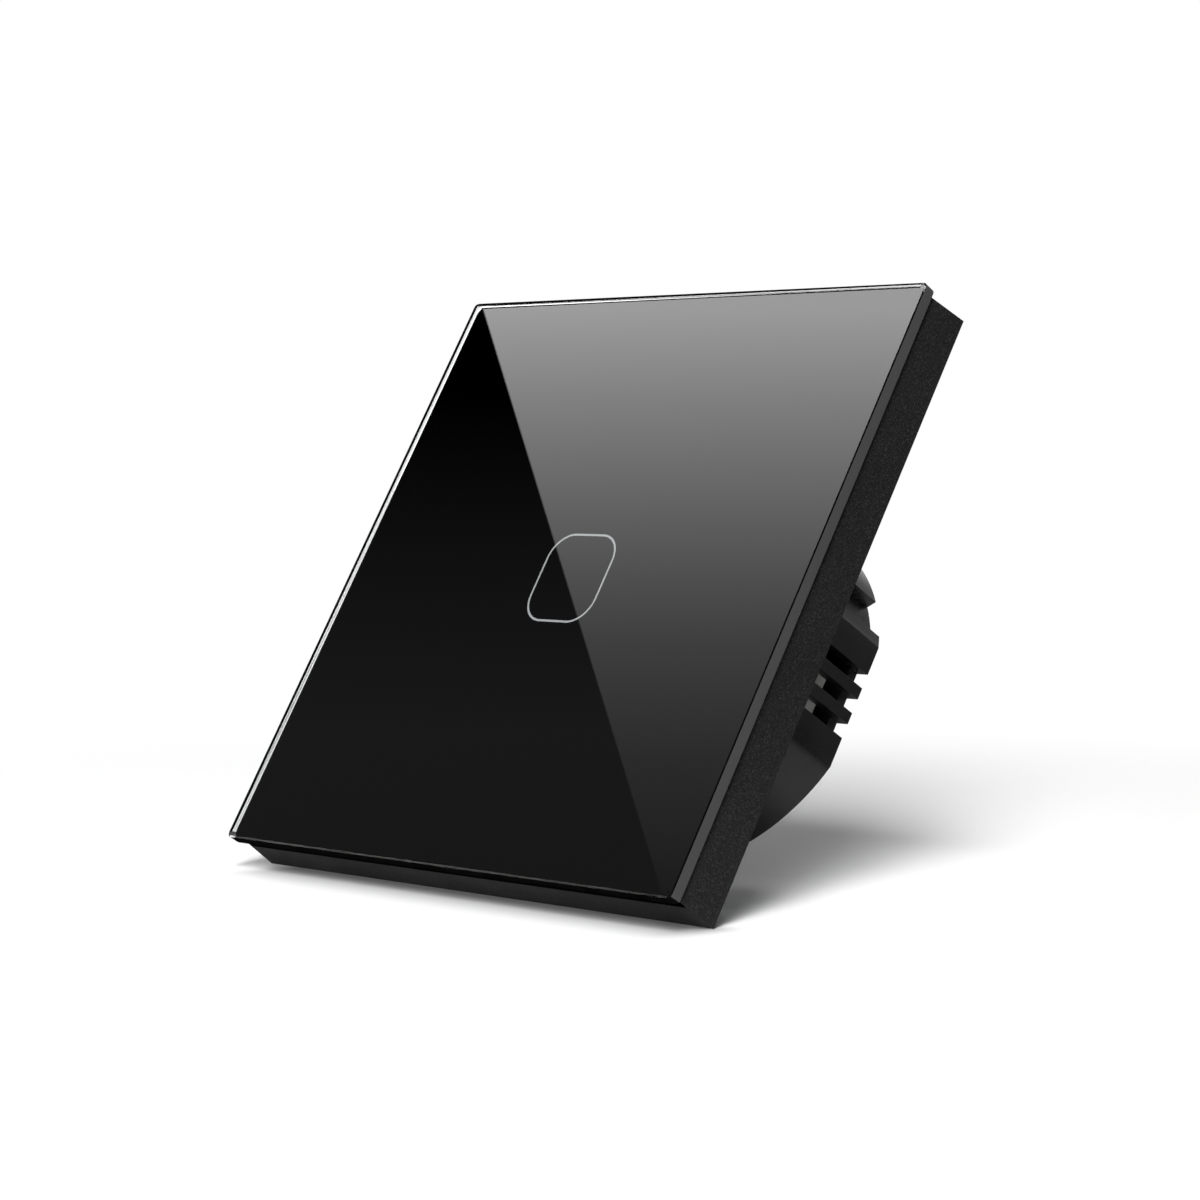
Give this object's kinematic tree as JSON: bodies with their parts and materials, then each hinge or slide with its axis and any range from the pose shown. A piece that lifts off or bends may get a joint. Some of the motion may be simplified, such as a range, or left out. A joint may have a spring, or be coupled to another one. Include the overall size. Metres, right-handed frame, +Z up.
{
  "type": "touch light switch",
  "caption": "Square glass-fronted touch light switch with a pull-off panel, a relay inside and a round rear body for a wall box.",
  "frame": {"origin": "centre of the wall screw slots, on the wall plane at the back of the mounting plate and the panel frame", "axes": "+Y into the wall, along the depth of the switch; +Z up; +X to the right as seen from the front"},
  "size_m": [0.086, 0.0347, 0.086],
  "materials": {
    "clear_glass": "polished face, ground edges",
    "black_print": "black ink on the back of the glass",
    "outline_print": "pale light-passing print",
    "foam_tape": "black foam tape",
    "frame_plastic": "black, fine sand texture",
    "cover_plastic": "black, satin",
    "body_plastic": "black, smooth moulded",
    "zinc_steel": "zinc plated sheet steel",
    "screw_steel": "plated steel screws",
    "sheet_film": "insulating film",
    "green_board": "solder masked board",
    "diffuser": "clear light guide",
    "lamp_white": "small lamps",
    "spring_steel": "tinned spring wire",
    "chip_black": "moulded chip",
    "part_ceramic": "small surface parts",
    "header_black": "header plastic",
    "gold_pin": "plated pins",
    "solder": "solder",
    "pale_box": "pale capacitor box",
    "can_sleeve": "dark capacitor sleeve",
    "can_metal": "bare can end",
    "fuse_brown": "fuse cap",
    "varistor_blue": "dipped disc",
    "ferrite": "ferrite",
    "copper_wire": "enamelled copper winding",
    "winding_tape": "yellow winding tape",
    "relay_plastic": "relay case",
    "relay_iron": "soft iron",
    "bobbin_white": "bobbin",
    "contact_copper": "contact strip and rivet",
    "terminal_plastic": "terminal block",
    "terminal_brass": "cages and bars"
  },
  "bodies": {
    "switch_module": {"mounting_plate": "zinc_steel", "sensor_cover": "cover_plastic", "insulating_sheet": "sheet_film", "touch_board": "green_board", "light_guide": "diffuser", "indicator_lamps": "lamp_white", "touch_spring": "spring_steel", "touch_chip": "chip_black", "touch_board_parts": "part_ceramic", "header_body": "header_black", "header_pins": "gold_pin", "header_socket": "header_black", "rear_housing": "body_plastic", "housing_screws": "screw_steel", "power_board": "green_board", "power_board_parts": "part_ceramic", "solder_joints": "solder", "film_capacitor": "pale_box", "smoothing_capacitor": "can_sleeve", "capacitor_top": "can_metal", "fuse": "fuse_brown", "varistor": "varistor_blue", "bridge_rectifier": "chip_black", "choke_core": "ferrite", "choke_winding": "copper_wire", "transformer_base": "bobbin_white", "transformer_core": "ferrite", "transformer_winding": "winding_tape", "relay_base": "relay_plastic", "relay_case": "relay_plastic", "relay_yoke": "relay_iron", "relay_bobbin": "bobbin_white", "relay_winding": "copper_wire", "relay_fixed_contact": "contact_copper", "terminal_block": "terminal_plastic", "terminal_bars": "terminal_brass"},
    "front_panel": {"glass_panel": "clear_glass", "back_print": "black_print", "touch_outline": "outline_print", "panel_tape": "foam_tape", "panel_frame": "frame_plastic"},
    "relay_arm": {"relay_armature": "relay_iron", "relay_contact_blade": "contact_copper"},
    "line_screw": {"terminal_screw_line": "screw_steel"},
    "load_screw": {"terminal_screw_load": "screw_steel"},
    "line_cage": {"terminal_cage_line": "terminal_brass"},
    "load_cage": {"terminal_cage_load": "terminal_brass"}
  },
  "joints": [
    {"name": "panel_pull", "type": "slide", "parent": "switch_module", "child": "front_panel", "axis": [0, -1, 0], "range_m": [0, 0.025]},
    {"name": "relay_arm_tilt", "type": "hinge", "parent": "switch_module", "child": "relay_arm", "pos_m": [0, 0.02095, -0.0056], "axis": [1, 0, 0], "range_deg": [0, 4], "stiffness_Nm_per_rad": 0.01},
    {"name": "line_screw_turn", "type": "hinge", "parent": "switch_module", "child": "line_screw", "pos_m": [-0.0051, 0.02, -0.0167], "axis": [0, -1, 0], "range_deg": [0, 900]},
    {"name": "load_screw_turn", "type": "hinge", "parent": "switch_module", "child": "load_screw", "pos_m": [0.0051, 0.02, -0.0167], "axis": [0, -1, 0], "range_deg": [0, 900]},
    {"name": "line_cage_rise", "type": "slide", "parent": "switch_module", "child": "line_cage", "axis": [0, 1, 0], "range_m": [0, 0.0015]},
    {"name": "load_cage_rise", "type": "slide", "parent": "switch_module", "child": "load_cage", "axis": [0, 1, 0], "range_m": [0, 0.0015]}
  ],
  "couplings": [
    {"joint": "line_screw_turn", "follows": "line_cage_rise", "rad_per_m": 10472},
    {"joint": "load_screw_turn", "follows": "load_cage_rise", "rad_per_m": 10472}
  ]
}
